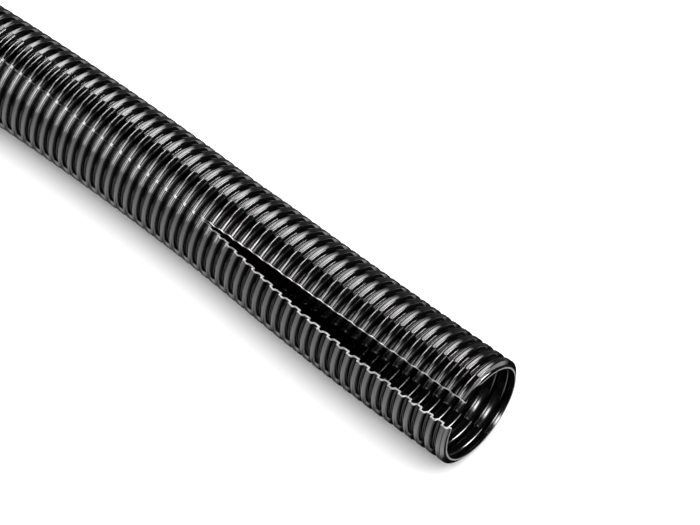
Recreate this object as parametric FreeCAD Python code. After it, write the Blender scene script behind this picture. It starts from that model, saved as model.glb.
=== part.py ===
"""Split loom tubing: one cut length of corrugated polyethylene conduit, slit along its side.

The tube lies on the floor (Z = 0) along X with its opened end at +X. It was cut from a coil, so its
centre line isn't quite straight: it bends one way and then back, in the floor's plane, between end
centres on Y = 0. The slit faces up and towards -Y. It is nearly closed at -X and opens towards +X.
The wall doesn't stretch there, so each ring of the wave grows by what the gap takes out of its circle.
"""

import FreeCAD, Part
import math
import os

# name, value (millimetres, degrees or a count), what it is
SIZES = [
    ("rib_count", 55, "waves in the cut length"),
    ("rib_pitch", 5.54, "from one rib to the next"),
    ("crest_dia", 44.5, "over the ribs, where the slit is closed"),
    ("wave_depth", 2.3, "from a rib's crest to the groove floor"),
    ("wall", 0.7, "thickness of the moulded wall"),
    ("crest_width", 2.5, "flat top of a rib"),
    ("flank_run", 0.45, "length along the tube that a rib's side takes to rise"),
    ("bend_radius", 1575, "of both bends in the centre line"),
    ("bend_change", 113, "from the opened end to where the bend turns back"),
    ("slit_gap", 0.4, "between the lips where the slit is closed"),
    ("mouth_gap", 13.4, "between the lips at the opened end, along the ring"),
    ("open_length", 141, "stretch over which the slit opens"),
    ("slit_rise", 45.5, "slit's angle above the floor at the opened end"),
    ("slit_turn", 28.5, "degrees that the slit turns about the tube by the closed end"),
]

doc = FreeCAD.newDocument("split_loom_tubing")


def make_sheet():
    """The driving sizes, each in a cell with its name."""
    sheet = doc.addObject("Spreadsheet::Sheet", "sizes")
    for row, (name, value, note) in enumerate(SIZES, start=1):
        sheet.set(f"A{row}", name)
        sheet.set(f"B{row}", str(value))
        sheet.setAlias(f"B{row}", name)
        sheet.set(f"C{row}", note)
    doc.recompute()
    return sheet


sizes = make_sheet()
RIBS = int(sizes.rib_count)
LENGTH = sizes.rib_count * sizes.rib_pitch
CREST = sizes.crest_dia / 2
GROOVE = CREST - sizes.wave_depth
PAST = 2 * sizes.rib_pitch  # how far a cutting form runs past the tube's ends


def gap_at(along):
    """Width of the slit, as an arc on the crests, at a distance from the closed end."""
    opened = (along - (LENGTH - sizes.open_length)) / sizes.open_length
    opened = min(max(opened, 0), 1)
    return sizes.slit_gap + (sizes.mouth_gap - sizes.slit_gap) * (1 - (1 - opened) ** 2)


def spread_at(along):
    """Growth of a ring's radius: the crest keeps its developed length beside the gap."""
    return (gap_at(along) - sizes.slit_gap) / (2 * math.pi)


def slit_angle_at(along):
    """Angle of the slit's middle about the tube, from -Y towards +Z."""
    from_mouth = 1 - along / LENGTH
    return math.radians(sizes.slit_rise + sizes.slit_turn * from_mouth**2)


def bend_point(along):
    """Point and direction in plan of the centre line, which starts at (0, 0) along X."""
    radius = sizes.bend_radius
    change = LENGTH - sizes.bend_change
    first = min(along, change) / radius
    last = max(along - change, 0) / radius
    turn = last - first
    x = radius * (2 * math.sin(first) + math.sin(turn))
    y = radius * (2 * math.cos(first) - math.cos(turn) - 1)
    return FreeCAD.Vector(x, y, 0), FreeCAD.Vector(math.cos(turn), math.sin(turn), 0)


def ring_frame(along):
    """Centre of a ring and its direction along the tube, the rib resting on the floor."""
    chord = bend_point(LENGTH)[0]
    point, direction = bend_point(along)
    level = FreeCAD.Rotation(chord, FreeCAD.Vector(1, 0, 0))
    centre = level.multVec(point - chord / 2)
    centre.z = CREST + spread_at(along)
    return centre, level.multVec(direction)


def ring(along, radius):
    """A circle of the wave at a distance from the closed end."""
    centre, direction = ring_frame(along)
    return Part.Wire(Part.makeCircle(radius + spread_at(along), centre, direction))


def wave(radial_offset, shift):
    """Corners of the wave as (distance along, radius), from one groove's middle to the last one's.

    The inner wave is the outer one moved inwards by the wall. Its flanks also shift along the tube,
    so that they stay as thick as the rest.
    """
    side = (sizes.rib_pitch - sizes.crest_width) / 2
    floor, crest = GROOVE - radial_offset, CREST - radial_offset
    corners = [(0, floor)]
    for rib in range(RIBS):
        start, end = rib * sizes.rib_pitch, (rib + 1) * sizes.rib_pitch
        corners += [
            (start + side - sizes.flank_run + shift, floor),
            (start + side + shift, crest),
            (end - side - shift, crest),
            (end - side + sizes.flank_run - shift, floor),
        ]
    return corners + [(LENGTH, floor)]


def skin(name, corners):
    """A solid through the wave's rings, with straight flanks and tops."""
    form = doc.addObject("Part::Feature", name)
    form.Shape = Part.makeLoft([ring(along, radius) for along, radius in corners], True, True)
    return form


def flank_shift():
    """Shift along the tube that keeps the flanks one wall thick."""
    slope = math.atan2(sizes.wave_depth, sizes.flank_run)
    return sizes.wall * math.tan(slope / 2)


def outer_form():
    return skin("outer_form", wave(0, 0))


def bore_form():
    corners = wave(sizes.wall, flank_shift())
    first, last = corners[0], corners[-1]
    corners[0] = (first[0] - PAST, first[1])
    corners[-1] = (last[0] + PAST, last[1])
    return skin("bore_form", corners)


def slit_section(along):
    """The slit's wedge at one place: from inside the bore to outside the ribs."""
    centre, direction = ring_frame(along)
    across = FreeCAD.Vector(0, 0, 1).cross(direction)
    middle = slit_angle_at(along)
    half = gap_at(along) / (2 * (CREST + spread_at(along)))
    inner, outer = GROOVE / 2, CREST + 2 * sizes.wave_depth + spread_at(along)

    def corner(angle, radius):
        return centre - across * (radius * math.cos(angle)) + FreeCAD.Vector(0, 0, radius * math.sin(angle))

    points = [
        corner(middle - half, inner),
        corner(middle - half, outer),
        corner(middle + half, outer),
        corner(middle + half, inner),
    ]
    return Part.makePolygon(points + points[:1])


def slit_form():
    """The space between the lips, narrow at first and opening smoothly."""
    closed = LENGTH - sizes.open_length
    steps = 12
    places = [-PAST, closed / 2, closed]
    places += [closed + sizes.open_length * (step / steps) for step in range(1, steps + 1)]
    places.append(LENGTH + PAST)
    form = doc.addObject("Part::Feature", "slit_form")
    form.Shape = Part.makeLoft([slit_section(along) for along in places], True, True)
    return form


def cut(name, base, tool):
    result = doc.addObject("Part::Cut", name)
    result.Base, result.Tool = base, tool
    return result


def split_loom_tube():
    """The whole tube: the waved wall, slit along its length."""
    wall = cut("tube_wall", outer_form(), bore_form())
    tube = cut("split_loom_tube", wall, slit_form())
    tube.Label = "split_loom_tube"
    return tube


def write(parts):
    """Checks every object and writes each part to its own STEP file."""
    doc.recompute()
    for item in doc.Objects:
        if "Invalid" in item.State or "Error" in item.State:
            raise RuntimeError(f"{item.Name} is {item.State}")
        if hasattr(item, "Shape") and (item.Shape.isNull() or not item.Shape.isValid()):
            raise RuntimeError(f"{item.Name} has no valid shape")
    os.makedirs("parts", exist_ok=True)
    for part in parts:
        part.Shape.exportStep(f"parts/{part.Label}.step")
        print(part.Label, len(part.Shape.Solids), "solid", round(part.Shape.Volume), "mm3")


write([split_loom_tube()])
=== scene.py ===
"""Looks of the split loom tubing: its waved black wall with seams, cut lips and ends, in a small studio.

The wall is modelled straight, in millimetres, with its slit towards -Y. One rib is shaped and copied
along X. Then the wall is laid on the bent line that the solid follows, with the slit opened, and it is
in metres from there on.
"""

import math

import bmesh
import bpy
from mathutils import Matrix, Vector


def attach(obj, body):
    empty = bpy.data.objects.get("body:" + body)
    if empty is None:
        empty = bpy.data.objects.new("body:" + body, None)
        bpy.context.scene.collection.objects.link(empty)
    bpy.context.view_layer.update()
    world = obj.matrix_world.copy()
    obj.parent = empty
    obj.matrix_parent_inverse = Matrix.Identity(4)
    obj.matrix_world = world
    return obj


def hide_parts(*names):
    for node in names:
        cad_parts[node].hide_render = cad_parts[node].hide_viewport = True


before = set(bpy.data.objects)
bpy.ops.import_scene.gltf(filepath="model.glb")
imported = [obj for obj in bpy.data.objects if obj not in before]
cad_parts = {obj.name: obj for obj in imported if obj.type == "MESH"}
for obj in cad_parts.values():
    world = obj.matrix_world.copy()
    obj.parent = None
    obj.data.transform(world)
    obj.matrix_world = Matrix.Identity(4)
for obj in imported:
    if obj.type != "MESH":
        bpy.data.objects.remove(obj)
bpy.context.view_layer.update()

# The tube, in millimetres and degrees, as in the part's source
RIBS = 55
PITCH = 5.54
LENGTH = RIBS * PITCH
CREST = 44.5 / 2
GROOVE = CREST - 2.3
WALL = 0.7
CREST_WIDTH = 2.5
FLANK_RUN = 0.45
BEND_RADIUS = 1575
BEND_CHANGE = 113
SLIT_GAP = 0.4
MOUTH_GAP = 13.4
OPEN_LENGTH = 141
SLIT_RISE = 45.5
SLIT_TURN = 28.5

# Places along a rib and along the tube
SIDE = (PITCH - CREST_WIDTH) / 2
FEET = (SIDE - FLANK_RUN, PITCH - SIDE + FLANK_RUN)
SHOULDERS = (SIDE, PITCH - SIDE)
OPENS = LENGTH - OPEN_LENGTH

# What only the looks have, in millimetres and degrees
COLUMNS = 48  # faces round a ring
SHOULDER_ROUND = 0.3
FOOT_ROUNDS = (1.0, 0.6)  # towards the closed end and towards the mouth
INNER_SHOULDER_ROUND = 0.25
INNER_FOOT_ROUND = 0.7
SEAM = 30  # from the slit to the first mould seam, on the straight tube
SEAM_FOOT = 0.2  # half the width of the seam's ridge, at its foot and at its top
SEAM_TOP = 0.1
SEAM_HEIGHT = 0.1
SEAM_AT_MOUTH = 89.6  # the first seam's angle about the laid tube
SEAM_DRIFT = (-22.7, 39.4)  # its changes by the closed end, as the distance and as its square
MOULD_SHIFT = 0.3  # of one mould half along the tube
CREST_DISH = 0.08
DISH = (-0.7, -0.45, 0.0, 0.7)  # its edge, floor, floor's end and edge, from the crest's middle
GROOVE_DIP = 0.05
BURR = 0.12  # height of the knife's burr along the outside of the lips
BURR_WIDTH = 0.22
LIP = math.degrees(SLIT_GAP / 2 / CREST)  # of the straight tube's lips from -Y
STRAY = ((0.35, 1.13), (0.25, 0.47))  # the knife's waves: how far it strayed, and radians of wave per mm
NOTCH_HIGHLIGHT = 0.58 * PITCH  # along each rib, the middle of a painted highlight on the closed lips' crests
NOTCH_HIGHLIGHT_EDGE = (0.5, 0.8)  # from that painted highlight's middle, where it starts to fade and where it ends
NOTCH_HIGHLIGHT_PALE = 0.55  # how pale that painted highlight is, beside the opened lips
CREST_LIP_HIGHLIGHT = 0.6  # how pale the painted lip highlight is, beside the lips in the grooves
MOUTH_LIP_HIGHLIGHT = 0.4  # how pale the painted lip highlight is, beside the lips where the slit opens
LIP_HIGHLIGHT_START = (OPENS - 6, OPENS + 10)  # along the tube, where the painted highlight on the lips starts
LIP_HIGHLIGHT_FADE = (OPENS + 50, LENGTH)  # and where that painted highlight fades again
RAGGED = ((7.5, 0.5), (15, 1.0), (22.5, 0.6))  # where the saw slipped at the opened end, and how far
SHARP = 42  # a turn between faces that shows as an edge

# The wall's material slots, in the plastics' order; the third plastic carries the lips' painted highlight
LOOM_SLOT, CUT_SLOT, LIP_HIGHLIGHT_SLOT, BORE_SLOT = range(4)


def select(piece, kind, wanted):
    """Selects the wanted verts, edges or faces of a piece in edit mode, and nothing else."""
    mesh = bmesh.from_edit_mesh(piece.data)
    for item in [*mesh.verts, *mesh.edges, *mesh.faces]:
        item.select = False
    for item in getattr(mesh, kind):
        if wanted(item):
            item.select_set(True)
    if kind == "verts":
        mesh.select_flush(True)
        mesh.select_flush_mode()
    bmesh.update_edit_mesh(piece.data)


def select_points(piece, wanted):
    select(piece, "verts", lambda vertex: wanted(vertex.co))


def select_faces(piece, wanted):
    select(piece, "faces", lambda face: wanted(face.calc_center_median()))


def radius_of(point):
    return math.hypot(point.y, point.z)


def angle_of(point):
    """Degrees round the tube, from -Y towards +Z."""
    return math.degrees(math.atan2(point.z, -point.y)) % 360


def near(value, *targets, within=0.01):
    return any(abs(value - target) < within for target in targets)


def apply_modifier(piece, kind, **settings):
    modifier = piece.modifiers.new(kind.lower(), kind)
    for name, value in settings.items():
        setattr(modifier, name, value)
    bpy.ops.object.modifier_apply(modifier=modifier.name)


def cut_across(piece, point, normal, wanted=None):
    """A cut through the wanted faces of the piece, or through all."""
    if wanted:
        select_faces(piece, wanted)
    else:
        bpy.ops.mesh.select_all(action="SELECT")
    bpy.ops.mesh.bisect(plane_co=point, plane_no=normal, threshold=0.0001)


def swell(factor):
    """Moves what is selected away from the tube's axis, or towards it."""
    bpy.ops.transform.resize(value=(1, factor, factor), center_override=(0, 0, 0))


def assign(piece, slot):
    """Gives the selected faces a material slot."""
    piece.active_material_index = slot
    bpy.ops.object.material_slot_assign()


def round_corners(piece, places, radius, width, segments):
    """Bevels the rings of a rib at these places along it, on the skin of this radius."""

    def on_ring(edge):
        a, b = (vertex.co for vertex in edge.verts)
        at_place = abs(a.x - b.x) < 0.03 and near(a.x, *places, within=0.03)
        return at_place and all(near(radius_of(point), radius, within=0.3) for point in (a, b))

    select(piece, "edges", on_ring)
    bpy.ops.mesh.bevel(offset=width, offset_type="OFFSET", segments=segments, affect="EDGES")


def outside(point):
    """Whether a point is on the outer skin, which a groove's inner crest overlaps in radius."""
    from_middle = abs(point.x % PITCH - PITCH / 2)
    risen = (CREST_WIDTH / 2 + FLANK_RUN - from_middle) / FLANK_RUN
    return radius_of(point) > GROOVE + (CREST - GROOVE) * min(max(risen, 0), 1) - WALL / 2


def plain_ring(plastics):
    """One pitch of plain tube, as wide as a groove, with the wall's materials."""
    bpy.ops.mesh.primitive_cylinder_add(
        vertices=COLUMNS,
        radius=GROOVE,
        depth=PITCH,
        end_fill_type="NOTHING",
        location=(PITCH / 2, 0, 0),
        rotation=(0, math.pi / 2, 0),
    )
    rib = bpy.context.object
    rib.name = rib.data.name = "loom_wall"
    for plastic in plastics:
        rib.data.materials.append(plastic)
    bpy.ops.object.transform_apply(location=True, rotation=True, scale=True)
    return rib


def wave_and_slit(rib, across_seams):
    """Raises the crest, marks the seams' edges and opens the slit between the burr's edges."""
    for place in (*FEET, *SHOULDERS):
        cut_across(rib, (place, 0, 0), (1, 0, 0))
    select_points(rib, lambda point: SHOULDERS[0] - 0.01 < point.x < SHOULDERS[1] + 0.01)
    swell(CREST / GROOVE)
    for offset in (-SEAM_FOOT, -SEAM_TOP, SEAM_TOP, SEAM_FOOT):
        cut_across(rib, across_seams * offset, across_seams)
    lip = SLIT_GAP / 2
    for offset in (-lip - BURR_WIDTH, -lip, lip, lip + BURR_WIDTH):
        cut_across(rib, (0, 0, offset), (0, 0, 1), lambda point: point.y < 0)
    select_faces(rib, lambda point: abs(point.z) < lip and point.y < 0)
    bpy.ops.mesh.delete(type="FACE")


def round_wave(rib):
    """Rounds the wave's corners on both skins, the foot towards the closed end the most."""
    shift = WALL * math.tan(math.atan2(CREST - GROOVE, FLANK_RUN) / 2)
    inner_feet = (FEET[0] + shift, FEET[1] - shift)
    inner_shoulders = (SHOULDERS[0] + shift, SHOULDERS[1] - shift)
    round_corners(rib, SHOULDERS, CREST, SHOULDER_ROUND, 2)
    for foot, width in zip(FEET, FOOT_ROUNDS):
        round_corners(rib, [foot], GROOVE, width, 2)
    round_corners(rib, inner_feet, GROOVE - WALL, INNER_FOOT_ROUND, 2)
    round_corners(rib, inner_shoulders, CREST - WALL, INNER_SHOULDER_ROUND, 1)


def dish_crest_and_groove(rib):
    """Sinks the crest a little between its shoulders, and the groove's middle."""
    crest = CREST - 0.1
    for offset in DISH:
        cut_across(rib, (PITCH / 2 + offset, 0, 0), (1, 0, 0), lambda point: radius_of(point) > crest)
    start, end = PITCH / 2 + DISH[1] - 0.01, PITCH / 2 + DISH[2] + 0.01
    select_points(rib, lambda point: start < point.x < end and radius_of(point) > crest)
    swell(1 - CREST_DISH / CREST)
    select_points(rib, lambda point: near(point.x, 0, PITCH) and radius_of(point) > GROOVE - 0.1)
    swell(1 - GROOVE_DIP / GROOVE)


def mould_halves(rib, across_seams):
    """Stands the seams up from the wall and moves the half with the slit a little along the tube."""
    select_points(rib, lambda point: abs(across_seams.dot(point)) < SEAM_TOP + 0.01)
    swell(1 + SEAM_HEIGHT / CREST)
    select_points(
        rib,
        lambda point: 0.01 < point.x < PITCH - 0.01 and not SEAM - 0.1 < angle_of(point) < SEAM + 180.1,
    )
    bpy.ops.transform.translate(value=(MOULD_SHIFT, 0, 0))


def lips(rib):
    """Joins both skins in the knife's cut, and gives the cut faces and a narrow strip outside them the
    plastic with the painted highlight.
    """
    lip_highlight = SLIT_GAP / 2 + BURR_WIDTH
    select_faces(rib, lambda point: point.y < 0 and abs(point.z) < lip_highlight and outside(point))
    assign(rib, LIP_HIGHLIGHT_SLOT)
    sides = ((0, 3), (357, 360))
    for low, high in sides:
        select(
            rib,
            "edges",
            lambda edge: edge.is_boundary
            and all(low < angle_of(vertex.co) < high for vertex in edge.verts)
            and abs(edge.verts[0].co.x - edge.verts[1].co.x) > 0.001,
        )
        bpy.ops.mesh.bridge_edge_loops()
        assign(rib, LIP_HIGHLIGHT_SLOT)


def one_rib(plastics):
    """One wave of the wall, both skins, slit along -Y."""
    rib = plain_ring(plastics)
    seam = math.radians(SEAM)
    across_seams = Vector((0, math.sin(seam), math.cos(seam)))
    bpy.ops.object.mode_set(mode="EDIT")
    wave_and_slit(rib, across_seams)
    bpy.ops.object.mode_set(mode="OBJECT")
    apply_modifier(
        rib,
        "SOLIDIFY",
        thickness=WALL,
        offset=-1,
        use_even_offset=True,
        use_rim=False,
        material_offset=BORE_SLOT - LOOM_SLOT,
    )
    bpy.ops.object.mode_set(mode="EDIT")
    round_wave(rib)
    dish_crest_and_groove(rib)
    mould_halves(rib, across_seams)
    lips(rib)
    bpy.ops.object.mode_set(mode="OBJECT")
    return rib


def cut_open(wall):
    """The burr along the opened lips, the cuts at both ends and the saw's slips at the opened one."""
    bpy.ops.object.mode_set(mode="EDIT")
    select_points(
        wall,
        lambda point: point.x > OPENS
        and point.y < 0
        and near(abs(point.z), SLIT_GAP / 2, within=0.05)
        and outside(point),
    )
    swell(1 + BURR / CREST)
    for place in (0, LENGTH):
        select(
            wall,
            "edges",
            lambda edge: edge.is_boundary
            and all(near(vertex.co.x, place) for vertex in edge.verts)
            and abs(radius_of(edge.verts[0].co) - radius_of(edge.verts[1].co)) < 0.2,
        )
        bpy.ops.mesh.bridge_edge_loops()
        assign(wall, CUT_SLOT)
    for angle, back in RAGGED:
        select_points(wall, lambda point: near(point.x, LENGTH) and near(angle_of(point), angle, within=2))
        bpy.ops.transform.translate(value=(-back, 0, 0))
    bpy.ops.object.mode_set(mode="OBJECT")


def gap_at(along):
    """Width of the slit, as an arc on the crests, at a distance from the closed end."""
    opened = min(max((along - OPENS) / OPEN_LENGTH, 0), 1)
    return SLIT_GAP + (MOUTH_GAP - SLIT_GAP) * (1 - (1 - opened) ** 2)


def spread_at(along):
    """Growth of a ring's radius beside the gap."""
    return (gap_at(along) - SLIT_GAP) / (2 * math.pi)


def slit_angle_at(along):
    return SLIT_RISE + SLIT_TURN * (1 - along / LENGTH) ** 2


def seam_angle_at(along):
    """The first mould seam's angle about the tube, which the knife didn't quite follow."""
    from_mouth = 1 - along / LENGTH
    return SEAM_AT_MOUTH + SEAM_DRIFT[0] * from_mouth + SEAM_DRIFT[1] * from_mouth**2


def bend_point(along):
    """Point and direction in plan of the centre line, which starts at (0, 0) along X."""
    change = LENGTH - BEND_CHANGE
    first = min(along, change) / BEND_RADIUS
    turn = max(along - change, 0) / BEND_RADIUS - first
    x = BEND_RADIUS * (2 * math.sin(first) + math.sin(turn))
    y = BEND_RADIUS * (2 * math.cos(first) - math.cos(turn) - 1)
    return Vector((x, y)), Vector((math.cos(turn), math.sin(turn)))


def strayed(along):
    """Degrees by which the knife strayed."""
    return sum(reach * math.sin(rate * along) for reach, rate in STRAY)


def laid_angle(angle, along):
    """Where a place round the straight tube comes to lie, in degrees about the laid one."""
    half_gap = math.degrees(gap_at(along) / 2 / (CREST + spread_at(along)))
    grown = 1 + spread_at(along) / CREST
    slit = slit_angle_at(along) + strayed(along)
    seam = seam_angle_at(along)
    places = [
        (LIP, slit + half_gap),
        (SEAM, seam),
        (SEAM + 180, seam + 180 / grown),
        (360 - LIP, slit - half_gap + 360),
    ]
    for (low, laid_low), (high, laid_high) in zip(places, places[1:]):
        if angle <= high or high == places[-1][0]:
            return laid_low + (laid_high - laid_low) * (angle - low) / (high - low)


def lay(wall):
    """Moves the straight wall onto its bent line on the floor, opened at the slit, and into metres.

    The attribute "moulded" keeps the straight wall's coordinates for the plastics' patterns.
    """
    moulded = wall.data.attributes.new("moulded", "FLOAT_VECTOR", "POINT")
    chord = bend_point(LENGTH)[0]
    level = Matrix.Rotation(-math.atan2(chord.y, chord.x), 2)
    for index, vertex in enumerate(wall.data.vertices):
        moulded.data[index].vector = vertex.co
        along = vertex.co.x
        point, direction = bend_point(along)
        point, direction = level @ (point - chord / 2), level @ direction
        across = Vector((-direction.y, direction.x, 0))
        centre = Vector((point.x, point.y, CREST + spread_at(along)))
        angle = math.radians(laid_angle(angle_of(vertex.co), along))
        radius = radius_of(vertex.co) + spread_at(along)
        place = centre - across * radius * math.cos(angle) + Vector((0, 0, radius * math.sin(angle)))
        vertex.co = place / 1000


def loom_wall(plastics):
    """The whole wall: ribs in a row, cut at the slit and the ends, and laid on the floor."""
    bpy.ops.object.select_all(action="DESELECT")
    wall = one_rib(plastics)
    apply_modifier(
        wall,
        "ARRAY",
        count=RIBS,
        use_relative_offset=False,
        use_constant_offset=True,
        constant_offset_displace=(PITCH, 0, 0),
        use_merge_vertices=True,
        merge_threshold=0.01,
    )
    cut_open(wall)
    lay(wall)
    bpy.ops.object.shade_smooth_by_angle(angle=math.radians(SHARP))
    apply_modifier(wall, "WEIGHTED_NORMAL", mode="FACE_AREA", keep_sharp=True)
    return wall


class Signal:
    """A shader socket. Sums, differences and products of signals add their Math nodes."""

    def __init__(self, shader, socket):
        self.shader, self.socket = shader, socket

    def math(self, operation, *values):
        return self.shader.node("ShaderNodeMath", {"operation": operation}, dict(enumerate(values)))

    def __add__(self, other):
        return self.math("ADD", self, other)

    __radd__ = __add__

    def __sub__(self, other):
        return self.math("SUBTRACT", self, other)

    def __rsub__(self, other):
        return self.math("SUBTRACT", other, self)

    def __mul__(self, other):
        return self.math("MULTIPLY", self, other)

    __rmul__ = __mul__

    def ramp(self, start, end, low=0.0, high=1.0):
        """Goes smoothly from low to high while the signal goes from start to end."""
        smooth = {"interpolation_type": "SMOOTHSTEP"}
        return self.shader.node("ShaderNodeMapRange", smooth, {0: self, 1: start, 2: end, 3: low, 4: high})

    def axis(self, name):
        """One coordinate of a place."""
        return self.shader.node("ShaderNodeSeparateXYZ", {}, {0: self}, output=name)

    def noise(self, scale, detail):
        """A noise pattern over places."""
        return self.shader.node("ShaderNodeTexNoise", {}, {"Vector": self, "Scale": scale, "Detail": detail})


class Shader:
    """The node tree of a material, a light or the world."""

    def __init__(self, owner):
        self.owner = owner
        owner.use_nodes = True
        self.tree = owner.node_tree
        self.tree.nodes.clear()

    def node(self, kind, settings=None, inputs=None, output=0):
        """Adds a node with its settings, then its inputs' values or links, and returns one output."""
        made = self.tree.nodes.new(kind)
        for name, value in (settings or {}).items():
            setattr(made, name, value)
        for name, value in (inputs or {}).items():
            if isinstance(value, Signal):
                self.tree.links.new(value.socket, made.inputs[name])
            else:
                made.inputs[name].default_value = value
        return Signal(self, made.outputs[output]) if made.outputs else None


def lip_highlight_share(place, patchy):
    """How much of the lips' pale colour there is, which is a painted highlight.

    That is on the opened lips, less so on their crests and towards the mouth, and as a painted highlight
    on each closed rib by the slit.
    """
    along = place.axis("X")
    crest = place.axis("Y").ramp(-CREST + 0.1, -CREST + 0.5, 1.0, 0.0)
    opened = along.ramp(*LIP_HIGHLIGHT_START)
    highlight_fade = along.ramp(*LIP_HIGHLIGHT_FADE, 1.0, MOUTH_LIP_HIGHLIGHT)
    # a painted highlight on the crests by the closed slit, once each rib
    nearest = {"operation": "PINGPONG"}
    from_notch_highlight = place.shader.node("ShaderNodeMath", nearest, {0: along - NOTCH_HIGHLIGHT, 1: PITCH / 2})
    notch_highlight_share = from_notch_highlight.ramp(*NOTCH_HIGHLIGHT_EDGE, 1.0, 0.0)
    opened_lips_highlight = opened * (1 - (1 - CREST_LIP_HIGHLIGHT) * crest) * patchy * highlight_fade
    return opened_lips_highlight + NOTCH_HIGHLIGHT_PALE * (1 - opened) * crest * notch_highlight_share


def polyethylene(name, dark, pale_tone_and_highlight, smooth, rough, depth, lip_highlight=False):
    """Black blown plastic, between two colours and two roughnesses; for the lips, the pale colour is a
    painted highlight.

    Its streaks, which are so many metres deep, run round the ring, as the wall was drawn into the mould.
    """
    shader = Shader(bpy.data.materials.new(name))
    place = shader.node("ShaderNodeAttribute", {"attribute_name": "moulded"}, output="Vector")
    stretched = shader.node("ShaderNodeMapping", {}, {"Vector": place, "Scale": (2.2, 0.06, 0.06)})
    streaks = stretched.noise(1.0, 3.0)
    cloud = place.noise(0.35, 4.0)
    grain = place.noise(3.0, 2.0)
    patchy = grain.ramp(0.3, 0.6, 0.25, 1.0)
    # on the lips, the share of the pale colour is a painted highlight; elsewhere it is random tone
    tone_and_highlight = lip_highlight_share(place, patchy) if lip_highlight else patchy
    mixed = {0: tone_and_highlight, 6: (*dark, 1), 7: (*pale_tone_and_highlight, 1)}
    colour = shader.node("ShaderNodeMix", {"data_type": "RGBA"}, mixed, output=2)
    roughness = smooth + (rough - smooth) * (0.6 * streaks + 0.4 * cloud)
    height = 0.7 * streaks + 0.2 * grain
    bump = shader.node("ShaderNodeBump", {}, {"Strength": 1.0, "Distance": depth, "Height": height})
    finish = {"Base Color": colour, "Roughness": roughness, "IOR": 1.52, "Normal": bump}
    surface = shader.node("ShaderNodeBsdfPrincipled", {}, finish)
    shader.node("ShaderNodeOutputMaterial", {}, {"Surface": surface})
    return shader.owner


def pale_floor():
    """The table, which the tube's gloss doesn't mirror, and a pale wall far round it."""
    bpy.ops.mesh.primitive_plane_add(size=12, location=(0, 0, 0))
    floor = bpy.context.object
    floor.name = "floor"
    bpy.ops.mesh.primitive_cylinder_add(radius=6, depth=6, end_fill_type="NOTHING", location=(0, 0, 2.9))
    backdrop = bpy.context.object
    backdrop.name = "backdrop"
    backdrop.visible_diffuse = backdrop.visible_shadow = False
    shader = Shader(bpy.data.materials.new("pale_paper"))
    finish = {"Base Color": (0.9, 0.9, 0.9, 1), "Roughness": 0.7, "Specular IOR Level": 0.2}
    surface = shader.node("ShaderNodeBsdfPrincipled", {}, finish)
    shader.node("ShaderNodeOutputMaterial", {}, {"Surface": surface})
    for sheet in (floor, backdrop):
        sheet.visible_glossy = False
        sheet.data.materials.append(shader.owner)
    return [floor, backdrop]


def softbox(name, direction, distance, size, radiance, lit, fade=None, skew=(0, 0)):
    """An area light in that direction from the tube, which lights only what is lit.

    Its second size lies along the arc over the tube. The fade's four places across it are where the light
    starts, is full, is full still and ends. The skew moves the first two and the last two along the tube.
    """
    out = Vector(direction).normalized()
    along = (Vector((1, 0, 0)) - out * out.x).normalized()
    turn = Matrix((along, out.cross(along), out)).transposed()
    middle = Vector((0, 0, 0.03))
    light = bpy.data.objects.new(name, bpy.data.lights.new(name, "AREA"))
    light.data.shape = "RECTANGLE"
    light.data.size, light.data.size_y = size
    light.data.energy = radiance * size[0] * size[1] * math.pi
    light.matrix_world = Matrix.Translation(middle + out * distance) @ turn.to_4x4()
    bpy.context.scene.collection.objects.link(light)
    if fade:
        shader = Shader(light.data)
        place = shader.node("ShaderNodeNewGeometry", output="Parametric")
        from_middle = place.axis("X") - 0.5
        across = place.axis("Y")
        rise = (across + skew[0] * from_middle).ramp(fade[0], fade[1])
        fall = (across + skew[1] * from_middle).ramp(fade[2], fade[3], 1.0, 0.0)
        glow = shader.node("ShaderNodeEmission", {}, {"Strength": rise * fall})
        shader.node("ShaderNodeOutputLight", {}, {"Surface": glow})
    receivers = bpy.data.collections.new(name + "_lights")
    for thing in lit:
        receivers.objects.link(thing)
    light.light_linking.receiver_collection = receivers


def over(round_tube, lean):
    """A direction by its angle round the tube and its share along it."""
    reach = math.sqrt(1 - lean**2)
    angle = math.radians(round_tube)
    return (lean, -reach * math.cos(angle), reach * math.sin(angle))


def softboxes(tube, floor):
    """Two strips over the tube for its long streaks, two past its far end, one by its mouth, one overhead.

    The numbers after a direction are the distance, the size and the radiance.
    """
    softbox("strip_behind", over(148, -0.481), 8, (3.0, 8.6), 11, [tube], (-0.15, 0.3, 0.4, 0.9))
    fade, skew = (0.08, 0.3, 0.5, 0.73), (-0.93, -0.375)
    softbox("strip_front", over(60, -0.435), 8, (3.0, 11.8), 32, [tube], fade, skew)
    softbox("end_behind", over(146, -0.9), 3, (0.8, 3.2), 40, [tube], (0.0, 0.1, 0.3, 1.0))
    softbox("end_front", over(60, -0.9), 3, (0.8, 4.2), 25, [tube], (0.0, 0.1, 0.3, 0.9))
    softbox("by_the_mouth", (0.80, 0.44, 0.43), 3, (1.6, 2.0), 62, [tube], (0.1, 0.8, 1.0, 1.1))
    softbox("overhead", (0.12, 0.22, 1), 2.5, (7, 7), 3.0, floor)


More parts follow.
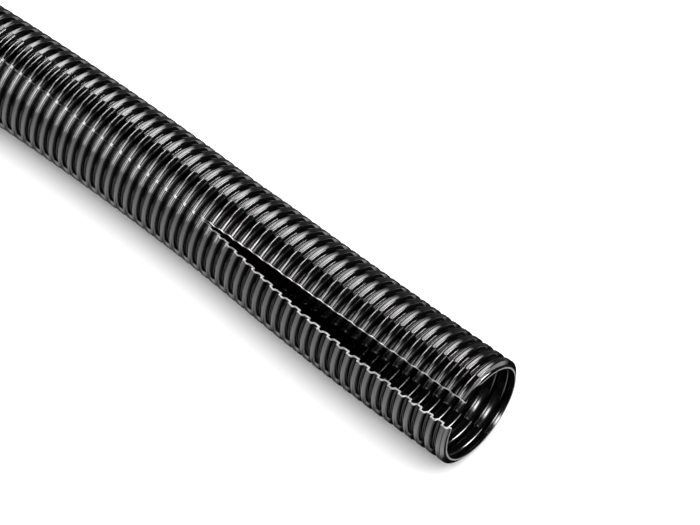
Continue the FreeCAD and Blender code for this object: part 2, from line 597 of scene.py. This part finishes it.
def room():
    """What the gloss also mirrors: a low pale wall in front and to the left, and the table past the mouth."""
    world = bpy.data.worlds.new("studio")
    bpy.context.scene.world = world
    shader = Shader(world)
    place = shader.node("ShaderNodeTexCoord", output="Generated")
    along, height = place.axis("X"), place.axis("Z")
    towards = {0: place, 1: (0.55, -0.83, 0)}
    facing = shader.node("ShaderNodeVectorMath", {"operation": "DOT_PRODUCT"}, towards, output="Value")
    front = facing.ramp(-0.2, 0.5, 0.04, 1.0)
    low, left = height.ramp(0.2, 0.6, 1.0, 0.0), along.ramp(-0.2, 0.0, 1.0, 0.0)
    below, right = height.ramp(-0.3, -0.1, 1.0, 0.0), along.ramp(0.35, 0.5)
    glow = 2.6 * low * front * left + 2.0 * below * right + 0.01
    background = shader.node("ShaderNodeBackground", {}, {"Color": (1, 1, 1, 1), "Strength": glow})
    shader.node("ShaderNodeOutputWorld", {}, {"Surface": background})


def camera():
    """Above the opened end and to its side, as the photograph was taken."""
    azimuth, elevation = math.radians(41.87), math.radians(52.50)
    distance = 1.3108
    level = math.cos(elevation)
    back = Vector((math.sin(azimuth) * level, -math.cos(azimuth) * level, math.sin(elevation)))
    target = Vector((0.06174, 0.02298, 0.0220))
    view = bpy.data.objects.new("camera", bpy.data.cameras.new("camera"))
    view.data.lens = 163.5
    view.data.sensor_width = 36
    view.location = target + back * distance
    view.rotation_euler = (-back).to_track_quat("-Z", "Y").to_euler()
    bpy.context.scene.collection.objects.link(view)
    bpy.context.scene.camera = view


black, grey_black = (0.0003, 0.0003, 0.0004), (0.001, 0.001, 0.0011)
plastics = [
    polyethylene("loom_plastic", black, grey_black, 0.03, 0.09, 0.000008),
    polyethylene("cut_plastic", (0.01, 0.01, 0.01), (0.08, 0.08, 0.08), 0.4, 0.6, 0.00005),
    # the lips' plastic: its pale colour is a painted highlight on the burr strip, the lips' cut faces and the
    # closed ribs by the slit
    polyethylene("burr_plastic_painted_highlight", (0.0005, 0.0005, 0.0005), (0.72, 0.72, 0.72), 0.3, 0.5, 0.00005, lip_highlight=True),
    polyethylene("bore_plastic", black, grey_black, 0.09, 0.26, 0.00003),
]
wall = loom_wall(plastics)
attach(wall, "root")
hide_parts("split_loom_tube")

softboxes(wall, pale_floor())
room()
camera()
bpy.context.scene.view_settings.view_transform = "Standard"
